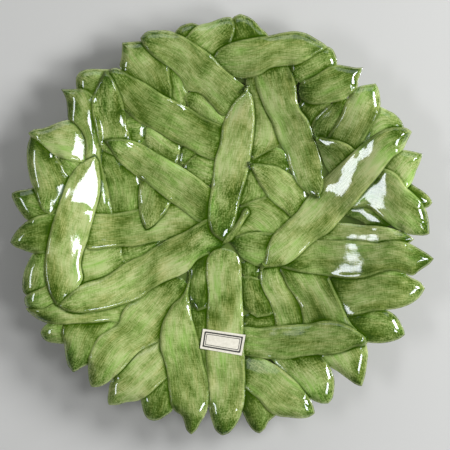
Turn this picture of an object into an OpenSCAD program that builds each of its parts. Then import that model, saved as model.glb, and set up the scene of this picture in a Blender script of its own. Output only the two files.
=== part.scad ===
// Canape plate: a shallow glazed earthenware dish on a foot ring, dressed all
// over with pressed bean pods that lie across each other like a heap of beans.
// Millimetres, +Z up, the foot stands on Z = 0 and the dish turns about Z.

/* [Dish] */
// Radius of the plain dish under the pods
dish_r = 84; // [80:1:88]
// Radius of the flat floor of the well
well_r = 38; // [30:1:45]
// Height that the dish climbs from its floor to its edge
rim_rise = 11; // [8:0.5:15]
// How late the dish turns up: 1 is a cone, more keeps the floor flatter
rim_curve = 1.6; // [1.2:0.1:2.2]
// Wall thickness of the dish
dish_wall = 3.4; // [2.5:0.1:5]

/* [Foot] */
// Middle radius of the foot ring
foot_r = 52; // [40:1:60]
// Width of the foot ring where it stands
foot_w = 4; // [3:0.5:8]
// Height of the foot ring
foot_h = 3; // [2:0.5:5]

/* [Pods] */
// Thickness of a pod along its edge
pod_edge = 1; // [0.7:0.1:1.5]
// Extra thickness of a pod along its middle
pod_crown = 1.3; // [0.8:0.1:2]
// Least clay over whatever a pod lies on
pod_cover = 0.7; // [0.5:0.1:1]
// Width of a pod's stalk where it leaves the pod
stalk_w = 3.4; // [2.4:0.2:5]

/* [Label] */
// Width of the paper label
label_w = 21; // [15:0.5:25]
// Depth of the paper label
label_d = 9.4; // [7:0.2:12]
// Thickness of the paper label
label_t = 0.2; // [0.15:0.05:0.4]
// Turn of the label from the X axis, in degrees
label_turn = -8.4; // [-15:0.2:15]

/* [Facets] */
// Rings of points along a pod
pod_rings = 11; // [9:1:13]
// Steps along a pod at which its bed is felt
bed_steps = 12; // [8:1:16]

/* [Hidden] */

pale = [0.64, 0.70, 0.42];
leaf = [0.50, 0.58, 0.31];
deep = [0.37, 0.46, 0.22];

// The pods in the order in which they are laid. Each row holds the node, the
// tail, a point half way, the tip, the width, how sharp the tail and the tip
// are (0.35 blunt, 0.9 pointed) and, where one shows, a stalk: 0 at the tail
// or 1 at the tip, then its reach in X and Y.
PODS = [
    // short pods that close the gaps of the heap
    ["upper_fillers", [-52, -14.5], [-40, -12], [-26, -10], 12, [0.5, 0.5]],
    ["upper_fillers", [9, -47.5], [18, -47], [27, -46.5], 11, [0.5, 0.5]],
    ["filler_pods", [-18, 62], [-8.5, 56.5], [2, 50], 13.5, [0.45, 0.4]],
    ["filler_pods", [-23, 27], [-10, 27], [2.5, 27], 17, [0.4, 0.4]],
    ["upper_fillers", [-50, 50], [-34, 42], [-18, 33], 15, [0.4, 0.5]],
    ["filler_pods", [-74, -20], [-61, -19], [-49, -18], 17, [0.5, 0.4]],
    ["filler_pods", [-12, -14], [-10.5, -48], [-8, -88], 12.5, [0.45, 0.45]],
    ["filler_pods", [13, 33], [23, 32], [35, 28], 13, [0.45, 0.4]],
    ["filler_pods", [10, 9], [11.5, 16], [13, 24], 13, [0.4, 0.4]],
    ["filler_pods", [13.5, -16], [16, -30], [18, -43], 14, [0.4, 0.3]],
    ["filler_pods", [40, 41], [51, 50], [62, 60], 20, [0.4, 0.5]],
    ["filler_pods", [51, 10], [69, 4.5], [83, -1], 13, [0.5, 0.5]],
    // fringe of tips around the edge
    ["rim_pod_38", [-21.5, 77], [-18, 87.5], [-14, 97.5], 14, [0.5, 0.55]],
    ["rim_pod_02", [19, 74], [15, 87.5], [8.5, 101.6], 15, [0.5, 0.75]],
    ["rim_pod_04", [29.5, 64.5], [42.5, 74], [54.5, 82.5], 13.5, [0.5, 0.5]],
    ["rim_pod_07", [66, 35], [77, 43], [88, 47], 13, [0.5, 0.55]],
    ["rim_pod_09", [80, 24.5], [91, 17], [101.5, 10], 10.5, [0.5, 0.6]],
    ["rim_pod_15", [52, -46], [60, -63], [67, -78], 18, [0.4, 0.6]],
    ["rim_pod_18", [11.5, -70.5], [15, -85.5], [18, -100.5], 14.5, [0.5, 0.6]],
    ["rim_pod_20", [-23.5, -65.5], [-29.5, -80], [-34, -94], 15, [0.5, 0.4]],
    ["rim_pod_24", [-65, -48.5], [-76.5, -51.5], [-87.5, -53], 9.5, [0.5, 0.4]],
    ["rim_pod_29", [-73.5, 7.5], [-88, 10.5], [-101, 15], 13, [0.5, 0.7]],
    ["rim_pod_27", [-87, -12.5], [-90, -24], [-89.5, -36], 12, [0.5, 0.5]],
    ["rim_pod_26", [-75.5, -32.5], [-85, -35], [-95, -37], 10.5, [0.5, 0.4]],
    ["rim_pod_33", [-43.5, 63.5], [-56.5, 68], [-70, 70.5], 13, [0.5, 0.5]],
    // second layer
    ["rim_pod_01", [-25, 80.5], [-9.5, 87.5], [5.5, 95.5], 16, [0.5, 0.4]],
    ["rim_pod_28", [-68, -3], [-85, -5], [-101.8, -9], 17.5, [0.5, 0.65]],
    ["rim_pod_08", [76.5, 18], [87, 25.5], [96.5, 34], 15, [0.5, 0.5]],
    ["rim_pod_11", [44, -5.5], [69, -5.5], [92, -7], 13.5, [0.5, 0.5]],
    ["rim_pod_14", [55.5, -46.5], [71.5, -49.5], [88, -53], 14.5, [0.5, 0.55]],
    ["rim_pod_16", [28, -54], [42, -70.5], [52, -86], 18.5, [0.4, 0.5]],
    ["rim_pod_23", [-59, -38], [-66.5, -57], [-71.5, -71.5], 17, [0.45, 0.6]],
    ["upper_fillers", [-18, 53], [-23, 66.5], [-28.5, 80], 14, [0.45, 0.5]],
    ["well_pod_12", [-45, -1], [-48, 18], [-53, 37], 18, [0.4, 0.5]],
    ["upper_fillers", [21, 27], [20, 48], [12.5, 76], 15, [0.5, 0.35]],
    ["well_pod_03", [24, -12], [19.5, 3], [13, 17.5], 22, [0.45, 0.42]],
    // third layer
    ["rim_pod_30", [-81, 3], [-82.5, 22.5], [-89, 42.5], 20.5, [0.6, 0.45]],
    ["rim_pod_31", [-57, 30], [-75, 39], [-93, 44], 17, [0.5, 0.65]],
    ["rim_pod_32", [-56, -1], [-60.5, 36.5], [-77, 64.5], 15, [0.4, 0.65]],
    ["rim_pod_36", [-25, 50], [-36.5, 69.5], [-45, 87.5], 17.5, [0.5, 0.4]],
    ["rim_pod_06", [58.5, 31.5], [66, 48.5], [74.5, 67], 17.5, [0.5, 0.55]],
    ["rim_pod_13", [44, -37], [72, -33.5], [97.5, -31], 18.5, [0.4, 0.6]],
    ["well_pod_08", [33, -55], [28, -37], [22, -18], 18.5, [0.35, 0.5]],
    ["well_pod_07", [62, -56], [46.5, -37], [35, -16], 20, [0.5, 0.5]],
    ["well_pod_04", [28, -11.5], [16, -11.5], [2.5, -5.5], 17.5, [0.5, 0.5]],
    ["well_pod_10", [-1, 3.5], [-37, -2], [-70, -4.5], 20, [0.4, 0.5]],
    ["rim_pod_25", [-40, -36], [-67, -41], [-93.5, -39], 14.5, [0.5, 0.6]],
    ["rim_pod_21", [-18, -48], [-37, -70.5], [-55, -86.5], 19, [0.5, 0.6]],
    // fourth layer
    ["rim_pod_35", [4, 36.5], [-26.5, 52], [-53, 72.5], 18.5, [0.45, 0.5]],
    ["rim_pod_34", [-51, 32.5], [-54, 53.5], [-56, 73], 16, [0.5, 0.6]],
    ["rim_pod_05", [32, 59], [50, 65.5], [68, 75], 17.5, [0.45, 0.55]],
    ["well_pod_05", [61, 18], [53, 31.5], [44.5, 42], 18, [0.5, 0.6], [1, -2.2, 1.8]],
    ["rim_pod_10", [63, 21], [82, 10.5], [100.5, -3.5], 19.5, [0.5, 0.5]],
    ["rim_pod_12", [27.5, -19.5], [63, -16.7], [102, -17], 18.3, [0.5, 0.7]],
    ["rim_pod_22", [-15, -25], [-44.5, -50.5], [-63, -79], 19.5, [0.5, 0.6]],
    ["well_pod_11", [-30, 24.5], [-33, 11.5], [-36.5, -3], 16.5, [0.5, 0.7]],
    ["rim_pod_17", [9.5, -64.5], [27.5, -80], [45, -91], 20, [0.4, 0.6]],
    ["well_pod_09", [-80, -37.5], [-72.5, -4], [-62.5, 33.5], 18.5, [0.6, 0.7]],
    // fifth layer
    ["well_pod_13", [-3, 8], [-31, 24], [-56.5, 40], 18.5, [0.45, 0.65]],
    ["well_pod_02", [42, 2], [26.5, 19], [13, 29.5], 18, [0.4, 0.6], [1, -2, 1.5]],
    ["well_pod_06", [7.5, -58], [38.5, -55.5], [70, -55.5], 16.5, [0.5, 0.6]],
    ["rim_pod_19", [-17, -30], [-17.5, -66], [-15, -101.6], 21, [0.65, 0.7]],
    ["long_pod_two", [19, -22], [54, 10.5], [90.5, 44], 20, [0.65, 0.6], [0, -2, -1]],
    ["well_pod_01", [26.5, 77], [34.5, 46.5], [46.5, 12.5], 17.5, [0.45, 0.55]],
    ["rim_pod_03", [-5.5, 78], [21.5, 80.8], [51, 84.5], 19, [0.55, 0.6]],
    ["rim_pod_37", [12, 56], [-13.5, 75.5], [-38.5, 90.5], 18, [0.45, 0.42]],
    // the pods that lie on top
    ["long_pod_eight", [-79.5, -38], [-39.5, -24.5], [4, -6.5], 18, [0.6, 0.65], [1, 7.5, 12.5]],
    ["long_pod_noon", [0, -8.5], [4.5, 28.5], [12.5, 66], 17.5, [0.6, 0.65], [1, 0.5, 2.5]],
    ["long_pod_six", [2, -9.5], [2.7, -55], [0, -101.6], 18.6, [0.5, 0.65]]];

// Height of the dish's upper face, running on past its edge at the same slope
floor_z = foot_h + dish_wall;
rim_slope = rim_rise * rim_curve / (dish_r - well_r);
function dish_z(r) = r < well_r ? floor_z
    : r < dish_r ? floor_z + rim_rise * pow((r - well_r) / (dish_r - well_r), rim_curve)
    : floor_z + rim_rise + (r - dish_r) * rim_slope;

// Line along the middle of a pod, seen from above, and its direction
function spine(p, u) = p[1] * (1 - u) * (1 - 2 * u) + p[2] * 4 * u * (1 - u) + p[3] * u * (2 * u - 1);
function run(p, u) = p[1] * (4 * u - 3) + p[2] * (4 - 8 * u) + p[3] * (4 * u - 1);
function reach(p) = norm(p[3] - p[1]);

// Half the width of a pod, drawn in at both ends
function drawn(d, sharp) = d >= 1 ? 1 : pow(1 - (1 - d) * (1 - d), sharp);
function half_w(p, u) = max(0.06 * p[4], p[4] / 2 * (0.92 + 0.08 * sin(180 * u))
    * drawn(max(u, 0.004) * reach(p) / (p[4] * (0.45 + p[5][0])), p[5][0])
    * drawn(max(1 - u, 0.004) * reach(p) / (p[4] * (0.45 + p[5][1])), p[5][1]));
function across(p, u, t) = let (d = run(p, u), n = [-d[1], d[0]] / norm(d)) spine(p, u) + n * t * half_w(p, u);

// Thickness of a pod over its bed, from edge to edge
function body(t) = pod_edge + pod_crown * (1 - pow(abs(t), 2.4));

// Bed of a pod: heights at its left, middle and right, felt at even steps
feel = 0.75;
function bed_at(bed, u, t) = let (k = min(max(u, 0), 1) * bed_steps, a = min(floor(k), bed_steps - 1),
        v = bed[a] * (1 - k + a) + bed[a + 1] * (k - a))
    v[1] + (v[2] - v[0]) / 2 * t / feel + ((v[0] + v[2]) / 2 - v[1]) * t * t / feel / feel;

// Upper face of a laid pod under a point, or far down where it isn't under it
function closest(p, q, u, n) = n == 0 ? u : let (d = run(p, u))
    closest(p, q, u + (q - spine(p, u)) * d / (d * d), n - 1);
function top_of(p, bed, q) = let (c = p[3] - p[1], u = closest(p, q, (q - p[1]) * c / (c * c), 2))
    u < 0 || u > 1 ? -99 : let (d = run(p, u), e = q - spine(p, u),
        t = (d[0] * e[1] - d[1] * e[0]) / norm(d) / half_w(p, u))
    abs(t) > 1 ? -99 : bed_at(bed, u, t) + body(t);

// What a pod lies on at a point: the dish or the pods laid before it
function beneath(i) = [for (j = [0:1:i - 1]) if (norm(PODS[i][2] - PODS[j][2])
    < (reach(PODS[i]) + reach(PODS[j])) / 2 + 8) j];
function support(q, under, beds) = max(concat([dish_z(norm(q))], [for (j = under) top_of(PODS[j], beds[j], q)]));

// A pod sags over what it lies on, but neither bends sharply nor dips in the middle
function felt(i, beds) = let (under = beneath(i)) [for (k = [0:bed_steps]) let (u = k / bed_steps,
        s = [for (t = [-feel, -0.36, 0, 0.36, feel]) support(across(PODS[i], u, t), under, beds)],
        m = max(s[1], s[2], s[3]) - 0.2)
    [max(s[0], s[1] - 0.4, m - 1.6), max(m, (s[0] + s[4]) / 2 - 0.6), max(s[4], s[3] - 0.4, m - 1.6)]];
function eased(raw) = [for (k = [0:bed_steps]) let (g = function (j) raw[min(max(j, 0), bed_steps)],
        v = (g(k - 2) + 2 * g(k - 1) + 3 * g(k) + 2 * g(k + 1) + g(k + 2)) / 9)
    [for (c = [0:2]) max(v[c], raw[k][c] + pod_cover - body(c == 1 ? 0 : feel))]];
function lay(i, beds) = i == len(PODS) ? beds : lay(i + 1, concat(beds, [eased(felt(i, beds))]));
BEDS = lay(0, []);

// One ring of a pod: over the top from left to right and back underneath
top_t = [-1, -0.72, 0, 0.72, 1];
low_t = [1, 0.4, -0.4, -1];
function ring(i, u, under) = let (p = PODS[i]) concat(
    [for (t = top_t) let (q = across(p, u, t)) [q[0], q[1], bed_at(BEDS[i], u, t) + body(t)]],
    [for (t = low_t) let (q = across(p, u, t))
        [q[0], q[1], min(support(q, under, BEDS), bed_at(BEDS[i], u, t) + body(t) - pod_cover)]]);
function stalk_ring(i, c, dir, h, under) = let (n = [-dir[1], dir[0]] / norm(dir), s = support(c, under, BEDS)) concat(
    [for (t = top_t) [c[0] + n[0] * t * h, c[1] + n[1] * t * h, s + 2.4 - 1.1 * t * t]],
    [for (t = low_t) [c[0] + n[0] * t * h, c[1] + n[1] * t * h, s]]);
function stalk(i, under) = let (p = PODS[i], e = p[6][0], d = [p[6][1], p[6][2]], o = e == 0 ? -1 : 1)
    [for (f = e == 0 ? [1, 0.5] : [0.5, 1]) stalk_ring(i, p[1 + 2 * e] + d * f, d * o, stalk_w / 2 * (1 - 0.25 * f), under)];
function rings(i) = let (under = beneath(i), p = PODS[i],
        main = [for (k = [0:pod_rings - 1]) ring(i, (1 - cos(180 * k / (pod_rings - 1))) / 2, under)])
    is_undef(p[6]) ? main : p[6][0] == 0 ? concat(stalk(i, under), main) : concat(main, stalk(i, under));

// A closed skin over a run of rings
module skin(rows) {
    m = len(rows[0]);
    n = len(rows);
    polyhedron([for (row = rows) for (q = row) q], concat(
        [for (k = [0:n - 2]) for (j = [0:m - 1]) each let (a = k * m + j, b = k * m + (j + 1) % m)
            [[a, b, b + m], [a, b + m, a + m]]],
        [for (j = [1:m - 2]) [0, j + 1, j]],
        [for (j = [1:m - 2]) [0, j, j + 1] + [1, 1, 1] * (n - 1) * m]));
}
module pod(name) {
    for (i = [0:len(PODS) - 1]) if (PODS[i][0] == name) skin(rings(i));
}

// The dish: turned profile with a foot ring, a recessed underside and a round edge
module base_dish() {
    steps = 14;
    rs = [for (k = [0:steps]) well_r + (dish_r - well_r) * k / steps];
    color(deep) rotate_extrude($fn = 96) polygon(concat(
        [[0, floor_z], [well_r - 4, floor_z]],
        [for (r = rs) [r, dish_z(r)]],
        [for (a = [60, 20, -20, -60]) [dish_r + 0.5 * dish_wall * cos(a), dish_z(dish_r) - 0.5 * dish_wall + 0.5 * dish_wall * sin(a)]],
        [for (k = [steps:-1:0]) if (rs[k] > foot_r + foot_w / 2 + 4) [rs[k], dish_z(rs[k]) - dish_wall]],
        [[foot_r + foot_w / 2 + 2, dish_z(foot_r + foot_w / 2 + 2) - dish_wall],
         [foot_r + foot_w / 2 + 0.4, 0.6], [foot_r + foot_w / 2, 0],
         [foot_r - foot_w / 2, 0], [foot_r - foot_w / 2 - 0.4, 0.6],
         [foot_r - foot_w / 2 - 2, foot_h], [0, foot_h]]));
}

// The label: a small paper rectangle that follows the crown of the pod under it
label_pod = len(PODS) - 1;
function label_z(q) = let (p = PODS[label_pod], c = p[3] - p[1], u = closest(p, q, (q - p[1]) * c / (c * c), 2),
        d = run(p, u), e = q - spine(p, u), t = (d[0] * e[1] - d[1] * e[0]) / norm(d) / half_w(p, u))
    bed_at(BEDS[label_pod], u, max(-1, min(1, t))) + body(max(-0.9, min(0.9, t)));
module paper_label() {
    cols = 8;
    rows = 3;
    at = [0.2, -57];
    function spot(f, g) = at + [cos(label_turn), sin(label_turn)] * label_w * (f - 0.5) + [-sin(label_turn), cos(label_turn)] * label_d * (g - 0.5);
    color([0.80, 0.80, 0.72]) skin([for (k = [0:cols]) concat(
        [for (g = [0:rows]) let (q = spot(k / cols, g / rows)) [q[0], q[1], label_z(q) + label_t]],
        [for (g = [rows:-1:0]) let (q = spot(k / cols, g / rows)) [q[0], q[1], label_z(q)]])]);
}

module filler_pods() { color(deep) pod("filler_pods"); }
module upper_fillers() { color(leaf) pod("upper_fillers"); }
module rim_pod_01() { color(leaf) pod("rim_pod_01"); }
module rim_pod_02() { color(leaf) pod("rim_pod_02"); }
module rim_pod_03() { color(pale) pod("rim_pod_03"); }
module rim_pod_04() { color(deep) pod("rim_pod_04"); }
module rim_pod_05() { color(leaf) pod("rim_pod_05"); }
module rim_pod_06() { color(leaf) pod("rim_pod_06"); }
module rim_pod_07() { color(deep) pod("rim_pod_07"); }
module rim_pod_08() { color(leaf) pod("rim_pod_08"); }
module rim_pod_09() { color(deep) pod("rim_pod_09"); }
module rim_pod_10() { color(leaf) pod("rim_pod_10"); }
module rim_pod_11() { color(deep) pod("rim_pod_11"); }
module rim_pod_12() { color(pale) pod("rim_pod_12"); }
module rim_pod_13() { color(leaf) pod("rim_pod_13"); }
module rim_pod_14() { color(leaf) pod("rim_pod_14"); }
module rim_pod_15() { color(leaf) pod("rim_pod_15"); }
module rim_pod_16() { color(deep) pod("rim_pod_16"); }
module rim_pod_17() { color(pale) pod("rim_pod_17"); }
module rim_pod_18() { color(leaf) pod("rim_pod_18"); }
module rim_pod_19() { color(pale) pod("rim_pod_19"); }
module rim_pod_20() { color(leaf) pod("rim_pod_20"); }
module rim_pod_21() { color(leaf) pod("rim_pod_21"); }
module rim_pod_22() { color(leaf) pod("rim_pod_22"); }
module rim_pod_23() { color(leaf) pod("rim_pod_23"); }
module rim_pod_24() { color(deep) pod("rim_pod_24"); }
module rim_pod_25() { color(leaf) pod("rim_pod_25"); }
module rim_pod_26() { color(deep) pod("rim_pod_26"); }
module rim_pod_27() { color(deep) pod("rim_pod_27"); }
module rim_pod_28() { color(leaf) pod("rim_pod_28"); }
module rim_pod_29() { color(deep) pod("rim_pod_29"); }
module rim_pod_30() { color(leaf) pod("rim_pod_30"); }
module rim_pod_31() { color(deep) pod("rim_pod_31"); }
module rim_pod_32() { color(leaf) pod("rim_pod_32"); }
module rim_pod_33() { color(leaf) pod("rim_pod_33"); }
module rim_pod_34() { color(leaf) pod("rim_pod_34"); }
module rim_pod_35() { color(pale) pod("rim_pod_35"); }
module rim_pod_36() { color(leaf) pod("rim_pod_36"); }
module rim_pod_37() { color(leaf) pod("rim_pod_37"); }
module rim_pod_38() { color(deep) pod("rim_pod_38"); }
module well_pod_01() { color(pale) pod("well_pod_01"); }
module well_pod_02() { color(pale) pod("well_pod_02"); }
module well_pod_03() { color(leaf) pod("well_pod_03"); }
module well_pod_04() { color(pale) pod("well_pod_04"); }
module well_pod_05() { color(leaf) pod("well_pod_05"); }
module well_pod_06() { color(pale) pod("well_pod_06"); }
module well_pod_07() { color(leaf) pod("well_pod_07"); }
module well_pod_08() { color(leaf) pod("well_pod_08"); }
module well_pod_09() { color(leaf) pod("well_pod_09"); }
module well_pod_10() { color(pale) pod("well_pod_10"); }
module well_pod_11() { color(leaf) pod("well_pod_11"); }
module well_pod_12() { color(leaf) pod("well_pod_12"); }
module well_pod_13() { color(pale) pod("well_pod_13"); }
module long_pod_noon() { color(pale) pod("long_pod_noon"); }
module long_pod_two() { color(leaf) pod("long_pod_two"); }
module long_pod_six() { color(pale) pod("long_pod_six"); }
module long_pod_eight() { color(pale) pod("long_pod_eight"); }

base_dish();
filler_pods();
upper_fillers();
rim_pod_01();
rim_pod_02();
rim_pod_03();
rim_pod_04();
rim_pod_05();
rim_pod_06();
rim_pod_07();
rim_pod_08();
rim_pod_09();
rim_pod_10();
rim_pod_11();
rim_pod_12();
rim_pod_13();
rim_pod_14();
rim_pod_15();
rim_pod_16();
rim_pod_17();
rim_pod_18();
rim_pod_19();
rim_pod_20();
rim_pod_21();
rim_pod_22();
rim_pod_23();
rim_pod_24();
rim_pod_25();
rim_pod_26();
rim_pod_27();
rim_pod_28();
rim_pod_29();
rim_pod_30();
rim_pod_31();
rim_pod_32();
rim_pod_33();
rim_pod_34();
rim_pod_35();
rim_pod_36();
rim_pod_37();
rim_pod_38();
well_pod_01();
well_pod_02();
well_pod_03();
well_pod_04();
well_pod_05();
well_pod_06();
well_pod_07();
well_pod_08();
well_pod_09();
well_pod_10();
well_pod_11();
well_pod_12();
well_pod_13();
long_pod_noon();
long_pod_two();
long_pod_six();
long_pod_eight();
paper_label();
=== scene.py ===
import math
import bpy
import numpy as np
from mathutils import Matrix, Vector


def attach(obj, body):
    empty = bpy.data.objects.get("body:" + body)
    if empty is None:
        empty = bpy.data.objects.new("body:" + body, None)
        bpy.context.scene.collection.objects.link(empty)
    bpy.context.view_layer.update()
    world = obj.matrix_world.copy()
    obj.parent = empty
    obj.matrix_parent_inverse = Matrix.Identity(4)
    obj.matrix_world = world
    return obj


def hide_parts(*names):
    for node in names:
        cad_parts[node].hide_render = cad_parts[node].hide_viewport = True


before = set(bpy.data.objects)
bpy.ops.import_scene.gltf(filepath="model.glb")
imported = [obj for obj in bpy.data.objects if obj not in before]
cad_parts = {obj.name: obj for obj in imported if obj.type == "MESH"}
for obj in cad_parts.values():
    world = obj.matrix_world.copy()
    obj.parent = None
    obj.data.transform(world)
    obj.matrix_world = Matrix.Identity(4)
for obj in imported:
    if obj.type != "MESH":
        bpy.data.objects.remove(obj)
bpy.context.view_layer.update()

# The view: the plate is seen from straight above its well, with a long lens, and
# the heap of pods nearly fills the square frame.
VIEW_FROM = (0.0014, -0.0005, 0.829)
LENS_LONG = 135.0
SENSOR_WIDE = 36.0
bpy.ops.object.select_all(action="DESELECT")
bpy.ops.object.camera_add(location=VIEW_FROM, rotation=(0.0, 0.0, 0.0))
camera = bpy.context.object
camera.name = "overhead_camera"
camera.data.lens = LENS_LONG
camera.data.sensor_width = SENSOR_WIDE
bpy.context.scene.camera = camera
bpy.context.scene.view_settings.view_transform = "Standard"

# The dish: a turned earthenware dish with a foot ring, glazed dark green all over
# but for the foot, which is wiped bare where it stands in the kiln.
DISH_DARK = (0.055, 0.100, 0.016, 1)
DISH_GREEN = (0.150, 0.220, 0.050, 1)
BARE_CLAY = (0.62, 0.55, 0.43, 1)
GLAZED_ABOVE = 0.0011
WIPED_BELOW = 0.0006
GLAZE_ROUGH = 0.12
CLAY_ROUGH = 0.75
POOL_SCALE = 90.0


def start_material(name):
    """A new material, its node tree and its shader."""
    material = bpy.data.materials.new(name)
    material.use_nodes = True
    return material, material.node_tree, material.node_tree.nodes["Principled BSDF"]


def noise(places, scale, detail):
    """A noise over the given places, in the material that is being made."""
    node = tree.nodes.new("ShaderNodeTexNoise")
    node.inputs["Scale"].default_value = scale
    node.inputs["Detail"].default_value = detail
    tree.links.new(places, node.inputs["Vector"])
    return node.outputs["Fac"]


def ramp(factor, stops, change="LINEAR"):
    """A colour that runs through the given stops as a factor grows."""
    node = tree.nodes.new("ShaderNodeValToRGB")
    node.color_ramp.interpolation = change
    elements = node.color_ramp.elements
    for at, colour in stops[1:-1]:
        elements.new(at).color = colour
    for k, (at, colour) in ((0, stops[0]), (len(stops) - 1, stops[-1])):
        elements[k].position = at
        elements[k].color = colour
    tree.links.new(factor, node.inputs["Fac"])
    return node.outputs["Color"]


def mapped(value, come_from, go_to, change="LINEAR"):
    """A value carried from one range over to another, and held at its ends."""
    node = tree.nodes.new("ShaderNodeMapRange")
    node.interpolation_type = change
    for name, number in zip(("From Min", "From Max", "To Min", "To Max"), (*come_from, *go_to)):
        node.inputs[name].default_value = number
    tree.links.new(value, node.inputs["Value"])
    return node.outputs["Result"]


def over(base, colour, factor, blend="MIX"):
    """A base colour with another one laid over it, as far as the factor says."""
    node = tree.nodes.new("ShaderNodeMix")
    node.data_type = "RGBA"
    node.blend_type = blend
    node.inputs["B"].default_value = colour
    tree.links.new(base, node.inputs["A"])
    tree.links.new(factor, node.inputs["Factor"])
    return node.outputs["Result"]


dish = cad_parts["base_dish"]
dish_glaze, tree, shader = start_material("dish_glaze")
on_dish = tree.nodes.new("ShaderNodeTexCoord").outputs["Object"]
dish_colour = ramp(noise(on_dish, POOL_SCALE, 5.0), [(0.3, DISH_DARK), (0.72, DISH_GREEN)])
dish_place = tree.nodes.new("ShaderNodeSeparateXYZ")
tree.links.new(on_dish, dish_place.inputs["Vector"])
wiped = mapped(dish_place.outputs["Z"], (GLAZED_ABOVE, WIPED_BELOW), (0.0, 1.0))
tree.links.new(over(dish_colour, BARE_CLAY, wiped), shader.inputs["Base Color"])
tree.links.new(mapped(wiped, (0.0, 1.0), (GLAZE_ROUGH, CLAY_ROUGH)), shader.inputs["Roughness"])
dish.data.materials.clear()
dish.data.materials.append(dish_glaze)

# Short pods that close the gaps of the heap: flat bean pods of soft clay, pressed
# and laid on the dish first, so that only glimpses of them show between the others.
# Sizes are in millimetres from here on, as far as the label.

# the dish's upper face, on a square grid of places a step apart
STEP = 0.3
REACH = 105.0
WELL_Z = 6.4
WELL_R = 38.0
BRIM_R = 84.0
BRIM_RISE = 11.0
BRIM_CURL = 1.6
line = np.arange(-REACH, REACH + STEP / 2, STEP)
grid_x, grid_y = np.meshgrid(line, line, indexing="ij")
grid_r = np.hypot(grid_x, grid_y)
up_brim = np.clip((grid_r - WELL_R) / (BRIM_R - WELL_R), 0, 1) ** BRIM_CURL
brim_slope = BRIM_RISE * BRIM_CURL / (BRIM_R - WELL_R)
dish_top = WELL_Z + BRIM_RISE * up_brim + brim_slope * np.maximum(grid_r - BRIM_R, 0)


def ease(t):
    """A soft step from 0 to 1."""
    t = np.clip(t, 0, 1)
    return t * t * (3 - 2 * t)


# the bed of the heap is steepest half way up the brim, its tips droop a little,
# and towards ten o'clock it has a shallow dip, whose turn is in degrees
STEEPEST = 0.41
TIP_SLOPE = -0.16
DROOP_R = 74.0
SLOPE_RUN = 28.0
RUN_STEP = 0.1
DIP_DEEP = 2.4
DIP_WIDE = 12.0
DIP_TURN = 137.0
DIP_TURN_SPREAD = 14.0
run_out = np.arange(0, 1.5 * REACH, RUN_STEP)
climb = STEEPEST * ease((run_out - WELL_R) / SLOPE_RUN)
droop = (STEEPEST - TIP_SLOPE) * ease((run_out - DROOP_R) / SLOPE_RUN)
heap_base = WELL_Z + np.interp(grid_r, run_out, np.cumsum(climb - droop) * RUN_STEP)
turn = np.degrees(np.arctan2(grid_y, grid_x))
dip = np.exp(-((grid_r - DROOP_R) / DIP_WIDE) ** 2 - ((turn - DIP_TURN) / DIP_TURN_SPREAD) ** 2)
heap_base -= DIP_DEEP * dip
heap = heap_base.copy()
uppermost = np.zeros(heap.shape, int)
pods = []

EDGE_GAP = 1.6
FEWEST_PLACES = 12


def edge_line(points, gap=EDGE_GAP):
    """A smooth line through the given points, as places an even gap apart."""
    points = np.array(points, float)
    legs = np.diff(points, axis=0)
    spans = np.hypot(legs[:, 0], legs[:, 1])
    slope = legs / spans[:, None]
    shared = (spans[:-1] + spans[1:])[:, None]
    inner = (slope[:-1] * spans[1:, None] + slope[1:] * spans[:-1, None]) / shared
    lean = np.vstack((slope[:1], inner, slope[-1:]))
    passed = np.concatenate(([0], np.cumsum(spans)))
    run = np.linspace(0, passed[-1], max(FEWEST_PLACES, int(passed[-1] / gap)))
    leg = np.clip(np.searchsorted(passed, run, "right") - 1, 0, len(spans) - 1)
    t = ((run - passed[leg]) / spans[leg])[:, None]
    rise = 3 * t ** 2 - 2 * t ** 3
    bow = lean[leg] * (t ** 3 - 2 * t ** 2 + t) + lean[leg + 1] * (t ** 3 - t ** 2)
    return points[leg] * (1 - rise) + points[leg + 1] * rise + spans[leg][:, None] * bow


def depth_inside(ring, x, y):
    """How far places lie inside an outline, and below nought outside it."""
    nearest = np.full(x.shape, 1e9)
    odd = np.zeros(x.shape, bool)
    for (ax, ay), (bx, by) in zip(ring, np.roll(ring, -1, axis=0)):
        dx, dy = bx - ax, by - ay
        t = np.clip(((x - ax) * dx + (y - ay) * dy) / max(dx * dx + dy * dy, 1e-9), 0, 1)
        nearest = np.minimum(nearest, (x - ax - t * dx) ** 2 + (y - ay - t * dy) ** 2)
        if ay != by:
            odd ^= ((ay > y) != (by > y)) & (x < ax + (y - ay) * dx / dy)
    return np.sqrt(nearest) * np.where(odd, 1, -1)


def smoothed(field, spread):
    """The field blurred over the given spread."""
    pad = int(3 * spread / STEP) + 2
    wide = np.pad(field, pad, mode="edge")
    fx = np.fft.fftfreq(wide.shape[0], STEP)[:, None]
    fy = np.fft.rfftfreq(wide.shape[1], STEP)[None, :]
    keep = np.exp(-2 * (math.pi * spread) ** 2 * (fx ** 2 + fy ** 2))
    return np.fft.irfft2(np.fft.rfft2(wide) * keep, s=wide.shape)[pad:-pad, pad:-pad]


# a pod's section: an edge, a shoulder just inside it and a crown along the middle
EDGE = 0.75
SHOULDER = 0.35
SHOULDER_WIDE = 1.3
CROWN = 0.85
CROWN_WIDE = 9.0

# how a pod lies: draped over the highest of what is under it, its edge tucked
# down to that, with a least cover of clay over it
MARGIN = 6.0
DRAPE = 5.0
BRIDGE = 0.6
OUTER_WEIGHT = 0.02
TUCK = 0.6
TUCK_WIDE = 2.2
TUCK_SPREAD = 0.9
COVER = 0.32
MORE_COVER = 0.3
COVER_WIDE = 1.5
COVER_SOFT = 0.2


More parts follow.
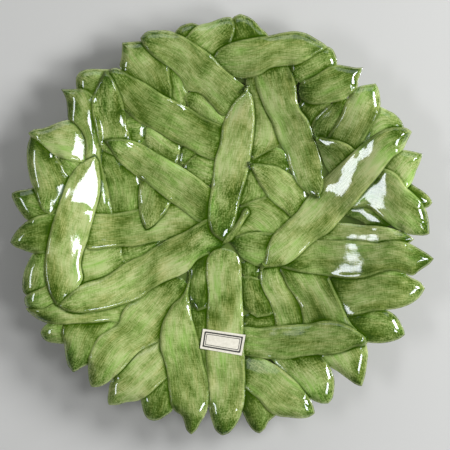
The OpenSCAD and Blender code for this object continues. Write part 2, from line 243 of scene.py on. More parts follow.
def lay(node, tail, tip, one_side, other_side, roll=0.0, crown=CROWN, dabbed=(0, 0), part="clay"):
    """Lays a pod on the heap, from its tail to its tip, between its two edges.

    A roll tips the pod about its length: its left side, seen from the tail, rises.
    The dabbed pair is how far extra dark glaze reaches from the tail and the tip."""
    one = edge_line([tail, *one_side, tip])
    other = edge_line([tail, *other_side, tip])
    along = np.subtract(tip, tail)
    aside = other.mean(0) - one.mean(0)
    if along[0] * aside[1] - along[1] * aside[0] < 0:
        one, other = other, one
    ring = np.vstack((one, other[-2:0:-1]))
    lo = np.clip(((ring.min(0) - MARGIN + REACH) / STEP).astype(int), 0, len(line) - 2)
    hi = np.clip(((ring.max(0) + MARGIN + REACH) / STEP).astype(int) + 2, 2, len(line))
    patch = (slice(lo[0], hi[0]), slice(lo[1], hi[1]))
    depth = depth_inside(ring, grid_x[patch], grid_y[patch])
    inside = depth > 0
    deep = np.maximum(depth, 0)
    under = heap[patch].copy()

    weight = inside + OUTER_WEIGHT
    built_up = np.exp(BRIDGE * (under - heap_base[patch]))
    draped = np.log(smoothed(built_up * weight, DRAPE) / smoothed(weight, DRAPE)) / BRIDGE
    left = np.array((-along[1], along[0])) / np.hypot(*along)
    off_middle = np.stack((grid_x[patch], grid_y[patch]), -1) - ring.mean(0)
    bed = heap_base[patch] + draped + roll * (off_middle @ left)
    bed += (smoothed(under, TUCK_SPREAD) - bed) * TUCK * np.exp(-(deep / TUCK_WIDE) ** 2)
    top = bed + EDGE + SHOULDER * (1 - np.exp(-deep / SHOULDER_WIDE))
    top += crown * (1 - (1 - np.clip(deep / CROWN_WIDE, 0, 1)) ** 2)
    least = under + COVER + MORE_COVER * (1 - np.exp(-deep / COVER_WIDE))
    top += COVER_SOFT * np.logaddexp(0, (least - top) / COVER_SOFT)

    pods.append({"node": node, "part": part, "one": one, "other": other, "patch": patch, "top": top,
                 "under": under, "bare": uppermost[patch] == 0, "dabbed": dabbed})
    heap[patch] = np.where(inside, top, under)
    uppermost[patch] = np.where(inside, len(pods), uppermost[patch])


lay("upper_fillers", (-22, 54), (-31, 80),
    [(-27, 57), (-29, 64), (-30.2, 72), (-31, 77.5)],
    [(-16, 60), (-18, 68), (-22, 76), (-28, 81)])
lay("upper_fillers", (-50.5, -15.5), (-30, -8),
    [(-49, -10), (-42, -9), (-36, -7.5)],
    [(-49, -20.5), (-42, -18.5), (-36, -15)])
lay("upper_fillers", (9, -47), (27, -46.5),
    [(12, -43.8), (18, -43), (24.5, -42.3)],
    [(12, -51), (18, -52), (25, -50.5)])
lay("filler_pods", (3, 48), (-18.8, 61),
    [(0, 56), (-7, 61), (-13, 65), (-16.5, 63.3)],
    [(-2, 46), (-9, 51), (-16, 56)])
lay("upper_fillers", (-37, 47), (-47, 45),
    [(-39, 50), (-42, 52.5), (-45, 52)],
    [(-37.5, 41.5), (-40, 38.5), (-44, 39.5)])
lay("filler_pods", (-10, 36), (-21, 35),
    [(-13, 38.5), (-17, 40)],
    [(-13, 32.5), (-17, 29.5), (-20, 29)])
lay("filler_pods", (-2, 24), (-19, 28.5),
    [(-3, 31.5), (-7, 33), (-11.5, 34.3)],
    [(-6, 19), (-12, 21), (-17, 25)])
lay("upper_fillers", (-20.5, 34.5), (-37.4, 43.8),
    [(-20.4, 37.5), (-24, 41), (-30, 46), (-34.5, 48), (-36.7, 47)],
    [(-21.6, 30.5), (-23, 29), (-30, 32), (-35, 36.5), (-37.6, 41)])
lay("filler_pods", (-48.8, -15), (-80.5, -20),
    [(-49, -11.5), (-54, -9), (-60, -8), (-68, -8), (-76, -11)],
    [(-46, -20.5), (-49, -28), (-57, -36), (-68, -39), (-78, -33)])
lay("filler_pods", (-11, -39), (-7, -89),
    [(-15.5, -42), (-15.5, -50), (-13, -60), (-10.5, -70), (-9, -80)],
    [(-6, -42), (-5, -55), (-4.5, -70), (-4.5, -82)])
lay("filler_pods", (-9, -13), (-12, -42.5),
    [(-13, -17), (-16.3, -24), (-17, -31), (-15.5, -38)],
    [(-5, -16), (-5, -25), (-5, -35), (-6.5, -40)])
lay("filler_pods", (11.5, 32), (33, 27.5),
    [(15, 33.7), (20.5, 34.6), (26, 37.5), (29, 36.5)],
    [(14, 26), (20, 25), (27, 24), (31, 24)])
lay("upper_fillers", (15, 31), (13, 77),
    [(22, 35), (28, 39), (29, 44), (26, 56), (21, 68), (17, 76)],
    [(12, 36), (11, 50), (11, 64)])
lay("filler_pods", (11, 8.5), (15, 28.5),
    [(5, 12), (6, 18), (9, 24)],
    [(18, 7), (25, 12), (22, 20)])
lay("filler_pods", (14, -18), (14, -27.5),
    [(9, -19), (9, -23)],
    [(18.5, -19), (18.5, -24)])
lay("filler_pods", (14, -25.2), (17, -45.5),
    [(9, -26), (8.5, -32), (9.5, -40)],
    [(18.3, -27), (21.5, -33), (25, -40), (25, -43)])
lay("filler_pods", (40, 47), (52, 61),
    [(36, 52), (37, 58), (41, 62)],
    [(44, 48), (48.5, 53.5), (52, 57)])
lay("filler_pods", (50, 41), (60, 61),
    [(45, 43), (43.5, 49), (47.5, 54), (52, 57.5)],
    [(55, 42), (60, 48), (62, 55)])
lay("filler_pods", (58, 5), (82, 0),
    [(62, 11), (67, 12.5), (73, 9), (78, 6)],
    [(61, 4), (66, 2), (71.5, -1.5), (77, -2)])
lay("filler_pods", (36, 67), (35, 79),
    [(32, 70), (31, 76)],
    [(37.2, 70.5), (38, 76)])
lay("filler_pods", (-68, 22), (-79, 33),
    [(-74, 22), (-78, 27)],
    [(-66, 28), (-72, 33)],
    roll=-0.2)

# The fringe: pods of the same clay, laid with their tips out past the edge of the
# dish, so that they make its jagged rim.
lay("rim_pod_38", (-20, 82), (-14.5, 96.6),
    [(-24, 88), (-22.3, 92.5), (-20.4, 94.7), (-18, 95.9)],
    [(-14, 86), (-11.5, 91), (-11, 95.3)])
lay("rim_pod_02", (14, 82), (8.8, 100.9),
    [(2, 84), (2, 90), (3.2, 96), (6.3, 100)],
    [(23, 86), (22, 90.8), (18.6, 94), (15, 98), (11, 100.2)])
lay("rim_pod_04", (33, 70), (55, 79.5),
    [(34, 78), (41, 83), (50, 85.5), (53, 84)],
    [(39, 67.5), (46, 69), (52, 73), (55.2, 76)])
lay("rim_pod_07", (66, 38), (87.3, 46),
    [(69, 50), (75.5, 56.3), (79, 54.8), (82, 53.4), (85, 50.8), (86.8, 48)],
    [(72, 36), (80, 40), (86, 44)])
lay("rim_pod_09", (84, 18), (101, 10.4),
    [(88, 22), (91, 19.2), (93.6, 17.5), (96, 16), (98.3, 14.2), (100.2, 12)],
    [(87, 12), (93, 8), (98.5, 7.8), (100.3, 9.2)])
lay("rim_pod_15", (54, -50), (67.1, -78),
    [(44, -55), (46, -63), (50, -67.5), (55, -70.5), (61, -74.9), (65, -77.5)],
    [(65, -50), (69, -57), (70, -62.5), (69.6, -66.5), (68.3, -74.5)])
lay("rim_pod_18", (12, -75), (18, -100.6),
    [(8, -80), (9, -88), (11, -93), (12.7, -96.3), (14.5, -98.7), (16.2, -100.1)],
    [(18, -78), (23, -84), (26, -91.8), (23.9, -93.4), (22.1, -95.2), (20.5, -98.5)])
lay("rim_pod_20", (-26, -70), (-33, -94.5),
    [(-35, -75), (-39, -82), (-38.2, -88.5), (-37.3, -91.5), (-35.5, -93.7)],
    [(-22, -75), (-22, -84), (-24.8, -90.6), (-27, -92), (-30, -94)])
lay("rim_pod_24", (-70, -50), (-87.2, -52.3),
    [(-75, -45), (-81, -46.5), (-84.7, -48.3), (-86.6, -50.5)],
    [(-72, -57), (-77, -57.5), (-81, -57.2), (-84.3, -56.4), (-86.3, -54.7)])
lay("rim_pod_29", (-79, 7), (-101, 14.8),
    [(-84, 15), (-89, 18), (-92.2, 17), (-95.4, 16.4), (-98.5, 16)],
    [(-82, 2), (-88, 0.5), (-93.6, 1.8), (-96.8, 5.5), (-98.5, 7.9), (-100, 10.7), (-101.1, 13.3)])
lay("rim_pod_27", (-87, -12), (-93, -35),
    [(-91, -14.5), (-93, -18), (-94.6, -21.5), (-96, -29), (-95.7, -32.5)],
    [(-81, -16), (-81, -22), (-81.5, -29), (-85, -35)])
lay("rim_pod_26", (-75, -36), (-95, -37),
    [(-80, -29), (-89, -31.8), (-92.5, -33.2), (-94.8, -35)],
    [(-81, -40), (-86, -43), (-92, -41), (-94.6, -39)])
lay("rim_pod_33", (-45, 64), (-70.2, 70),
    [(-46, 72), (-51, 74), (-57, 74.3), (-63, 74.4), (-66.5, 73.9), (-69, 72.5)],
    [(-52, 56), (-63, 56), (-69, 62.5), (-70.2, 67.5)])

# The second layer: pods of the same clay, laid over the roots of the fringe and
# pressed down the slope.
lay("rim_pod_01", (-16, 82), (4.4, 99.2),
    [(-18.5, 87), (-16, 91), (-11.5, 95.3), (-6, 96.7), (-1, 98.6), (2.5, 99.4)],
    [(-8, 78), (0, 82), (4.5, 87.5), (6, 92), (5.8, 96.5)])
lay("rim_pod_28", (-72, -4), (-101.8, -8.8),
    [(-76, -12), (-84, -13.8), (-90, -14.2), (-96, -12.3), (-100.3, -10.5)],
    [(-76, 4), (-84, 4.6), (-90, 3.2), (-95.5, 0), (-99.3, -4), (-101.3, -7.4)])
lay("rim_pod_08", (78, 18), (96.4, 33.7),
    [(77, 28), (83, 35.6), (89, 35.3), (93.5, 34.4)],
    [(86, 16), (90.5, 19), (91.8, 21.5), (93, 25), (95.2, 30)])
lay("rim_pod_11", (44, -5.5), (92.2, -7.3),
    [(52, 0), (60, 0.5), (68, -0.5), (76, -1), (83, -2.5), (89, -4.8)],
    [(52, -11), (62, -12), (72, -12), (82, -11), (89, -9.8)])
lay("rim_pod_14", (58, -47), (87.8, -53.2),
    [(64, -42), (72, -40), (79.5, -41.5), (83.3, -44), (86, -48), (87.5, -51.5)],
    [(60, -54), (66, -56), (71, -57), (77, -57.2), (82, -56.3), (86, -54.7)],
    dabbed=(3, 3))
lay("rim_pod_16", (30, -54), (51, -86.2),
    [(46, -58), (49, -64.5), (52, -69), (53.8, -74), (53.7, -80), (52.7, -84.3)],
    [(21, -60), (27, -69), (35, -77), (41, -83), (45, -85.3), (48.3, -86.3)],
    dabbed=(12, 4))
lay("rim_pod_23", (-60, -40), (-71.7, -71.2),
    [(-46, -46), (-49, -52), (-54, -58), (-61, -66.5), (-67, -68.6), (-70.3, -70.7)],
    [(-73, -44), (-76.8, -50), (-75.8, -58), (-75.2, -63), (-74, -68)])
lay("well_pod_12", (-47, 0), (-57, 40),
    [(-54, 3), (-54.3, 12), (-56, 20.5), (-58.3, 29), (-59.5, 36)],
    [(-40, 2), (-40.5, 10), (-40.5, 20), (-46, 32), (-52, 40)])
lay("well_pod_03", (24, -12), (3, 7),
    [(12, -9), (4, -5), (1, 0)],
    [(31, -6), (34, 2), (31, 9), (25, 13.5), (17, 12.2), (12.5, 10.5), (8, 8.5)])

# The third layer: pods of the same clay, laid over the second, which begin to close
# the well.
lay("rim_pod_30", (-82, 4), (-92, 42.3),
    [(-86, 6.5), (-89.5, 15), (-91.6, 19.5), (-93, 25), (-93.8, 32), (-93.4, 38)],
    [(-79, 7), (-75, 12), (-72, 18), (-73, 22.5), (-74.8, 25), (-76.3, 28), (-78.5, 31), (-83, 36.5),
     (-88, 40.5)])
lay("rim_pod_31", (-58, 34), (-93.2, 43.7),
    [(-62, 30), (-68, 29.8), (-76, 31.2), (-80.5, 33), (-84.5, 36.5), (-88.5, 39.8), (-92.3, 42.3)],
    [(-60, 42), (-66, 48), (-73, 50), (-77, 49.4), (-81, 47.8), (-86, 46), (-91, 45.2)])
lay("rim_pod_32", (-58, -2), (-77.3, 64.8),
    [(-63, 10), (-66, 28), (-66.5, 42.3), (-70, 47.5), (-73.8, 50.3), (-74.3, 55), (-75, 60)],
    [(-54, 2), (-54.3, 12), (-56, 20.5), (-58.3, 29), (-58.6, 36), (-58.2, 42), (-58.9, 48), (-60, 55),
     (-61.9, 61.5), (-67, 64.8), (-72.5, 64.7)],
    roll=-0.10)
lay("rim_pod_36", (-27, 55), (-48, 87.1),
    [(-38, 62), (-45, 70), (-49.2, 75.5), (-48.3, 80), (-48.1, 84)],
    [(-24, 63), (-25, 70), (-26, 77), (-30, 83), (-35.5, 87.4), (-42, 87.6)])
lay("rim_pod_06", (56, 33), (73.6, 67.5),
    [(50, 38), (51.3, 43), (54.3, 47.5), (57.3, 53), (59.5, 59), (62.5, 63.5), (66, 66.1), (70, 66.9)],
    [(66, 33), (68.5, 40.5), (71.3, 46), (74.3, 51.5), (76, 57), (75.7, 62), (74.8, 65.6)])
lay("rim_pod_13", (50, -33), (97.5, -31),
    [(54, -25), (64, -22), (76, -20), (86, -22.8), (91, -25.8), (95.5, -28.2)],
    [(56, -42), (61, -44.3), (66, -43.4), (72, -41.9), (79, -41.3), (85, -40.4), (90.5, -38.4),
     (95, -35)])
lay("well_pod_08", (33, -52), (22, -18),
    [(26, -52), (25.6, -47), (24.8, -43), (23, -38), (20.3, -33), (18.8, -29), (18.2, -24)],
    [(41, -52), (39.5, -44), (36, -35), (31.5, -28), (28.5, -20)])
lay("well_pod_07", (52, -53), (36, -19),
    [(40, -52), (39, -46), (37.8, -40), (35, -35), (32, -31), (29.8, -26.5), (28, -22)],
    [(66, -53), (61.8, -47.5), (59, -42), (57, -37), (54, -31), (51.8, -26), (46, -20)])
lay("well_pod_04", (26, -12), (3, -7.5),
    [(24, -20), (18, -20.8), (13, -18.8), (9.5, -16.5), (6.5, -12), (4, -9)],
    [(26, -5), (20, -4), (14, -4), (9, -5), (5, -6.5)])
lay("well_pod_10", (0, 2), (-70, -4),
    [(-8, -6), (-18, -6), (-28, -7.8), (-36, -9.6), (-44, -11.2), (-50, -11), (-56, -11.8), (-64, -12.3)],
    [(-6, 8), (-16, 9), (-28, 10), (-36, 8.5), (-41, 7.3), (-48, 5.8), (-54, 5), (-60, 5), (-66, 4.5)])
lay("rim_pod_25", (-40, -40), (-94.4, -40.4),
    [(-43, -48), (-54, -47), (-62, -47.6), (-70, -47.8), (-78, -48.1), (-85, -47.3), (-90, -44.8),
     (-93.3, -42)],
    [(-48, -33), (-60, -33.5), (-72, -35), (-80, -37.2), (-86, -40.4), (-91, -40.6)])
lay("rim_pod_21", (-20, -52), (-54.4, -87),
    [(-22, -62), (-26, -73), (-31, -78), (-36, -82.3), (-40, -84.7), (-46, -85.6), (-51, -87)],
    [(-26, -52), (-32, -56), (-42, -62.5), (-50, -71), (-54, -77), (-54.6, -81), (-55, -85)])

# The fourth layer: pods of the same clay, laid over the third, most of them running
# from the rim down into the well.
lay("rim_pod_35", (2, 40), (-54, 74.3),
    [(-2, 31), (-8.5, 32.3), (-16, 36.3), (-25, 40.5), (-33, 45.5), (-41, 49.5), (-46, 54), (-50, 62),
     (-54, 70)],
    [(4, 46), (-1.5, 49), (-8, 51.5), (-18, 57.5), (-28, 62), (-38, 68.3), (-43, 70.7), (-47.5, 73.3),
     (-51, 75)])
lay("rim_pod_34", (-52, 33), (-56.3, 73.5),
    [(-58, 36), (-59.8, 41), (-61.2, 47), (-62.5, 54), (-62.4, 60), (-60.3, 65.5), (-58.3, 69.5)],
    [(-44, 37), (-44.6, 43), (-46, 48.5), (-47.3, 56), (-48.7, 62), (-51, 67), (-53.7, 71.5)],
    roll=-0.17, dabbed=(0, 16))
lay("rim_pod_05", (36.8, 64), (67.7, 75.2),
    [(38, 68.3), (42, 69.8), (46.5, 72.3), (51, 75.2), (55, 76.4), (60, 75.8), (64.5, 75.1)],
    [(38, 60.5), (41.5, 58), (47, 57.6), (53, 58.3), (58.5, 59.5), (62, 62.5), (65.2, 66), (65.4, 69),
     (66.5, 72.3)])
lay("well_pod_05", (60, 24), (45, 42.3),
    [(56, 22), (52, 25), (49.3, 30), (47.3, 35.5), (45.6, 39.5)],
    [(66, 32), (62.5, 37), (57, 40), (51, 41.3), (47.5, 42.2)])
lay("rim_pod_10", (60, 14), (99.6, -4.7),
    [(70, 22), (78, 26.5), (84, 23.5), (88, 17.8), (92, 14.3), (95.5, 10.8), (98, 6.5), (99.3, 1)],
    [(62, 8), (70, 8), (75, 4.3), (80, 0.3), (84.5, -2.6), (89, -4.8), (94, -5.5), (97.5, -5.5)])
lay("rim_pod_12", (27, -20.5), (101.8, -16.7),
    [(36, -12), (46, -8), (54, -8), (62, -7.8), (68, -8.3), (74, -9.2), (79, -8.2), (85, -8),
     (90, -9.4), (94.5, -11.8), (99, -14.5)],
    [(33, -22.5), (40, -23.8), (48, -24.8), (55, -25.9), (62, -26.6), (68, -26), (74, -24), (80, -22.5),
     (86, -23.2), (91.5, -24.8), (95, -22.3), (99.5, -19.3)])
lay("rim_pod_22", (-20, -26), (-62.9, -78.2),
    [(-17, -29), (-17.6, -34), (-18.5, -40), (-24, -50), (-31, -56.8), (-40, -61.5), (-43.5, -65),
     (-47.5, -69.5), (-52, -73.7), (-56, -76.8), (-60, -78.3)],
    [(-28, -26), (-40, -34), (-48, -42), (-50.5, -48.5), (-55, -51.2), (-59.5, -54.5), (-62, -59),
     (-64.2, -65.5), (-64.3, -71), (-63.7, -76)])
lay("well_pod_11", (-31, 22), (-37, -2.7),
    [(-24, 16), (-25.2, 10), (-27.5, 5.5), (-31, 1.5), (-34.5, -1.5)],
    [(-38, 25), (-40, 20), (-40.8, 12), (-40.3, 6), (-39, 1.5), (-38, -1.2)])
lay("rim_pod_17", (9, -68), (44.6, -90.8),
    [(13, -64.5), (20, -65.3), (25, -67.5), (31, -71.8), (36, -76), (39.5, -80.3), (42, -83.5),
     (43.8, -87.5)],
    [(9, -76), (13, -80.5), (17, -83.7), (21.5, -89), (26, -92), (32, -92.9), (38, -93.4), (42.5, -92.5)])
lay("well_pod_09", (-79.5, -39), (-61.3, 32.6),
    [(-82, -35), (-84.3, -28.5), (-85.2, -21), (-84.2, -12), (-82.5, -4), (-80, 5), (-77.5, 12),
     (-75.3, 18.5), (-72.5, 24.3), (-69, 28.5), (-64.5, 31.3)],
    [(-75, -37.5), (-70, -31.5), (-67, -26), (-68, -20), (-67.2, -14.5), (-65, -8), (-63, 0),
     (-61, 7.5), (-59.2, 14.5), (-58.7, 21), (-59.2, 27), (-60, 31)],
    roll=0.06)

# The fifth layer: broad pods of the same clay, which cover the joints of the ones
# below.
lay("well_pod_13", (-2, 7), (-57.2, 40.3),
    [(-6, 2.5), (-11.5, 1), (-16, 4), (-21, 7.8), (-26, 11.3), (-31, 15.3), (-36, 19.5), (-41, 22.7),
     (-46, 26.5), (-50, 30), (-53, 34), (-55.7, 38)],
    [(-5, 17), (-9, 20.3), (-14, 24), (-20, 28), (-27, 31.8), (-33, 35.3), (-38.5, 38.5), (-43.5, 40.5),
     (-49, 41.3), (-54, 41.2)],
    roll=-0.16)
lay("well_pod_02", (38, 4), (13.3, 29.3),
    [(33, 3.5), (30, 6.5), (26.5, 9), (22.5, 12.8), (19.5, 17), (16.5, 22), (14.3, 26.5)],
    [(42, 10), (40, 16), (36, 22), (31, 25.7), (26, 28.2), (20, 29.2), (15.5, 29.6)])
lay("well_pod_06", (8, -57), (69.8, -57),
    [(10, -50.5), (18, -50.5), (26, -49.5), (34, -48.7), (42, -48.2), (48, -46.8), (54, -46.6),
     (60, -48.5), (65, -51.5), (68.8, -54.5)],
    [(10, -63), (16, -64.5), (24, -65.2), (32, -65), (38, -63.8), (44, -63), (51, -63), (58, -61.3),
     (64, -58.8), (68.5, -58.3)])
lay("rim_pod_19", (-16.5, -22), (-14.8, -101.2),
    [(-16.3, -26), (-18, -32), (-20, -35.5), (-24, -39), (-26.5, -43), (-29, -48), (-30.2, -54),
     (-30, -60), (-28.5, -65), (-27, -70), (-26, -76), (-25.3, -82), (-24.5, -87), (-22.5, -90),
     (-19.5, -92), (-18, -96), (-16.8, -99.5)],
    [(-15.6, -24), (-16.4, -34), (-15.5, -40), (-14.8, -45), (-13.3, -50), (-11.5, -56), (-10, -63),
     (-8.7, -69), (-7, -75), (-6.4, -81), (-6.8, -88), (-8.5, -92.5), (-10.5, -95.5), (-12, -98.5)])
lay("long_pod_two", (19, -21.5), (91.2, 44.3),
    [(20.5, -17.5), (22, -11), (24.5, -5.5), (30, 0), (36, 5.5), (40, 11), (46, 18), (52, 24.5),
     (59, 31), (66, 37.3), (70.5, 41), (75, 44), (80, 46), (85, 46.5), (89, 45.9)],
    [(25, -21), (31, -19.7), (36, -16.7), (41, -12), (46.5, -7.5), (52.5, -3.8), (56.5, 0.8), (61, 6),
     (65, 11), (70, 17), (74.5, 22.3), (78, 27), (82, 32), (86.5, 35.2), (88.7, 39.5)],
    crown=1.9)
lay("well_pod_01", (24, 78), (46.8, 13.3),
    [(30, 77), (34, 71.5), (35.7, 66), (36.3, 60), (38, 55), (41.5, 50.5), (43.7, 45), (45.3, 39.5),
     (47, 34.5), (48.8, 28), (49.2, 22), (48.8, 16.5)],
    [(17, 76), (15.8, 69), (18, 62), (21, 55), (24, 49.5), (26, 44), (28, 39), (31, 34.5), (32.5, 28.5),
     (34.5, 23.5), (37.5, 18.5), (41, 15.2), (44.5, 13.4)])
lay("rim_pod_03", (-4.5, 79.5), (50.6, 85),
    [(-2.5, 82.8), (2, 85.7), (8, 87.8), (15, 89.2), (22, 90.3), (29, 91.9), (35, 92.6), (40, 91.7),
     (45, 89), (48.7, 86.7)],
    [(0, 75), (6, 71), (13, 70.3), (18, 71.6), (23, 74.7), (30, 75.8), (36, 76.3), (41, 78.7), (46, 82),
     (49.3, 83.8)])
lay("rim_pod_37", (8, 56), (-39.2, 89.3),
    [(0, 52.5), (-6, 58.5), (-11.5, 63.5), (-17, 64.5), (-20, 70), (-24, 74), (-31, 78.7), (-36, 83.2),
     (-38.7, 87.3)],
    [(12, 65.5), (8, 69), (3, 73), (-1, 76.5), (-4.5, 80.5), (-11, 85), (-20, 90.5), (-25, 92.6),
     (-31, 93), (-36.5, 92.2)])

# The long pods on top of the heap, of the same clay, which meet in the middle of
# the well, and the bent stalk of one of them, laid across their ends.
lay("long_pod_eight", (-78.7, -39.3), (4, -7),
    [(-75.5, -36), (-70.5, -31.3), (-66, -28.4), (-60, -26.8), (-55, -24.5), (-50, -20.8), (-45, -17.7),
     (-38.5, -15), (-33, -11.3), (-26, -7.2), (-19, -4.2), (-12, 0), (-7.5, 2.4), (-3, 1.5), (1, -2)],
    [(-75, -41.5), (-69, -42.6), (-62, -42.3), (-55, -41), (-48, -39), (-40, -36), (-34.5, -31.8),
     (-29, -28.6), (-21, -25.3), (-16.5, -22.8), (-12, -17.5), (-7.5, -15), (-2, -12.5), (2, -9.5)],
    dabbed=(0, 16))
lay("long_pod_noon", (0, -8.5), (11.9, 65.4),
    [(-5, -4.5), (-6.8, 2), (-6.6, 9), (-5.5, 16), (-4.6, 24), (-3.5, 32), (-1.5, 38), (-0.7, 43),
     (0.2, 48.5), (2.5, 54), (5.5, 58.7), (9, 62.3)],
    [(4, -4), (6.5, 1.5), (8, 8), (9.5, 14.5), (11.5, 21), (13.2, 28), (14.3, 35), (15.4, 43), (16, 51),
     (15.4, 57), (14.4, 62)],
    dabbed=(20, 0))
lay("long_pod_six", (0.5, -11.5), (0, -101.6),
    [(-4, -12.8), (-7, -16), (-8, -21), (-7.4, -29), (-7, -36), (-7.6, -44), (-7.8, -54), (-7.8, -66),
     (-6.8, -74), (-6.2, -82), (-6.2, -89), (-4.8, -95), (-2.4, -100)],
    [(4, -12.3), (7.5, -15), (9.2, -19.5), (9.6, -27), (9.8, -35), (10.4, -45), (10.4, -56), (11, -67),
     (11.1, -77), (10.4, -87), (9, -92), (6, -97.4), (3, -100.6)],
    dabbed=(0, 8))
lay("long_pod_eight", (0, -10), (12.2, 8),
    [(1.5, -6.8), (4.2, -3.6), (6.7, 0.2), (9, 4.1), (9.8, 6.8)],
    [(4, -8.4), (6.8, -5.2), (9.3, -1.2), (11.6, 2.7), (13.7, 5.6)],
    part="stalk")

# The heap is pressed together while the clay is soft: steps from pod to pod are
# rounded over, a fine groove stays along each, and the outer edge is rounded off.
SPILL_STEPS = 14
PRESS_SPREAD = 0.65
SLOW_SPREAD = 3.2
SLOW_HIGH = 0.04
QUICK_SPREAD = 1.3
QUICK_HIGH = 0.010
GROOVE_DEEP = 0.34
GROOVE_WIDE = 0.7
ROUND_DEEP = 1.6
ROUND_WIDE = 4.5
FAR_OFF = 9.0
FAR_STEPS = 24


def beside(field):
    """The field moved by one step in each of four ways."""
    return [np.roll(field, way, axis) for way in (1, -1) for axis in (0, 1)]


def distance_from(start, region):
    """How far places are from the started ones, measured within one region."""
    far = np.where(start, STEP / 2, FAR_OFF)
    for _ in range(FAR_STEPS):
        for i, j in ((1, 0), (-1, 0), (0, 1), (0, -1), (1, 1), (1, -1), (-1, 1), (-1, -1)):
            same = np.roll(region, (i, j), (0, 1)) == region
            stepped = np.roll(far, (i, j), (0, 1)) + STEP * math.hypot(i, j)
            far = np.where(same, np.minimum(far, stepped), far)
    return far


HAND_SEED = 7
hand = np.random.default_rng(HAND_SEED)


def waves(spread, high):
    """A soft unevenness, as the hand leaves it in clay."""
    field = smoothed(hand.standard_normal(heap.shape), spread)
    return high * field / field.std()


outside = (uppermost == 0) & (grid_r > BRIM_R)
filled = np.where(outside, -1.0, heap)
for _ in range(SPILL_STEPS):
    filled = np.where(filled < 0, np.max(beside(filled), axis=0), filled)
filled = np.where(filled < 0, heap_base, filled)
# distances from the foot of a pod that lies above and from a pod's own raised edge: the relief cuts its
# grooves by them, and the glaze lays by them pooled glaze with painted shade in the creases and thin glaze
# with a painted highlight on the edges
under_others = np.any([near > uppermost for near in beside(uppermost)], axis=0)
over_others = np.any([(near < uppermost) & (near > 0) for near in beside(uppermost)], axis=0)
from_foot_above = distance_from(under_others, uppermost)
from_own_edge = distance_from(over_others, uppermost)
rim_edge = distance_from(np.any(beside(outside), axis=0) & ~outside, outside)
waver = waves(SLOW_SPREAD, SLOW_HIGH) + waves(QUICK_SPREAD, QUICK_HIGH)
groove = GROOVE_DEEP * np.exp(-(np.minimum(from_foot_above, from_own_edge) / GROOVE_WIDE) ** 2)
rounding = np.where(outside, ROUND_DEEP, ROUND_DEEP * np.clip(1 - rim_edge / ROUND_WIDE, 0, 1) ** 2)
pressed = smoothed(filled, PRESS_SPREAD) + waver - np.where(outside, 0, groove) - rounding


# just short of the last row, so that every place has a next one
BEFORE_LAST = 1.001


def between(field, patch, x, y):
    """The field read between its grid places, over one patch of the heap."""
    fx = np.clip((x + REACH) / STEP - patch[0].start, 0, field.shape[0] - BEFORE_LAST)
    fy = np.clip((y + REACH) / STEP - patch[1].start, 0, field.shape[1] - BEFORE_LAST)
    a, b = fx.astype(int), fy.astype(int)
    g, h = fx - a, fy - b
    near_row = field[a, b] * (1 - g) + field[a + 1, b] * g
    far_row = field[a, b + 1] * (1 - g) + field[a + 1, b + 1] * g
    return near_row * (1 - h) + far_row * h


def along_edge(edge, share):
    """The places on an edge line at the given shares of its run."""
    at = np.linspace(0, 1, len(edge))
    return np.column_stack((np.interp(share, at, edge[:, 0]), np.interp(share, at, edge[:, 1])))


SHEET_THICK = 0.1


def thin_sheet(name, columns, rows):
    """A closed sheet of 2 by 2 with its upper face at nought, and its points."""
    bpy.ops.object.select_all(action="DESELECT")
    bpy.ops.mesh.primitive_grid_add(x_subdivisions=columns, y_subdivisions=rows, size=2.0)
    piece = bpy.context.object
    piece.name = name
    wall = piece.modifiers.new("thickness", "SOLIDIFY")
    wall.thickness = SHEET_THICK
    wall.offset = -1.0
    bpy.ops.object.modifier_apply(modifier=wall.name)
    points = np.zeros(len(piece.data.vertices) * 3)
    piece.data.vertices.foreach_get("co", points)
    return piece, points.reshape(-1, 3)


def settle(mesh, x, y, z):
    """Moves a mesh's points to places in millimetres, and drops its flat UV map."""
    mesh.vertices.foreach_set("co", np.column_stack((x, y, z)).ravel() / 1000)
    while mesh.uv_layers:
        mesh.uv_layers.remove(mesh.uv_layers[0])
    mesh.update()


def mark(mesh, name, values):
    """Keeps a number at each point of a mesh, for its material to read."""
    kept = mesh.attributes.new(name, "FLOAT", "POINT")
    kept.data.foreach_set("value", np.asarray(values, np.float32))


def mark_grain(mesh, places):
    """Keeps where each point of a mesh lies in the run of the brush."""
    kept = mesh.attributes.new("grain", "FLOAT_VECTOR", "POINT")
    kept.data.foreach_set("vector", places.ravel().astype(np.float32))


def stand_for(piece, node):
    """Lets a piece ride on the plate in the place of its node."""
    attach(piece, "root")
    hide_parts(node)


# a pod's faces: the places its length is measured by, their length and width, the
# least and most of them each way, and how they crowd towards its ends and edges
MIDDLE_PLACES = 60
FACE_LONG = 0.6
FACES_LONG = (20, 170)
FACE_WIDE = 0.55
FACES_WIDE = (12, 46)
END_CROWDING = 0.05
EDGE_CROWDING = 0.3
BLUNT_END = 0.003

# how a pod goes under its neighbours, how its lower side beds on what is below,
# and how that side is let down into a lip beyond the brim
BURIED = 0.4
SKIM = 0.02
DIVE = 0.5
BED_DEPTH = 0.15
LEAST_THICK = 0.15
LIP_DEEP = 1.1
LIP_STARTS = 0.6
LIP_RUN = 2.5
LOWER_ROUNDING = 0.8
GRAIN_APART = 7.0


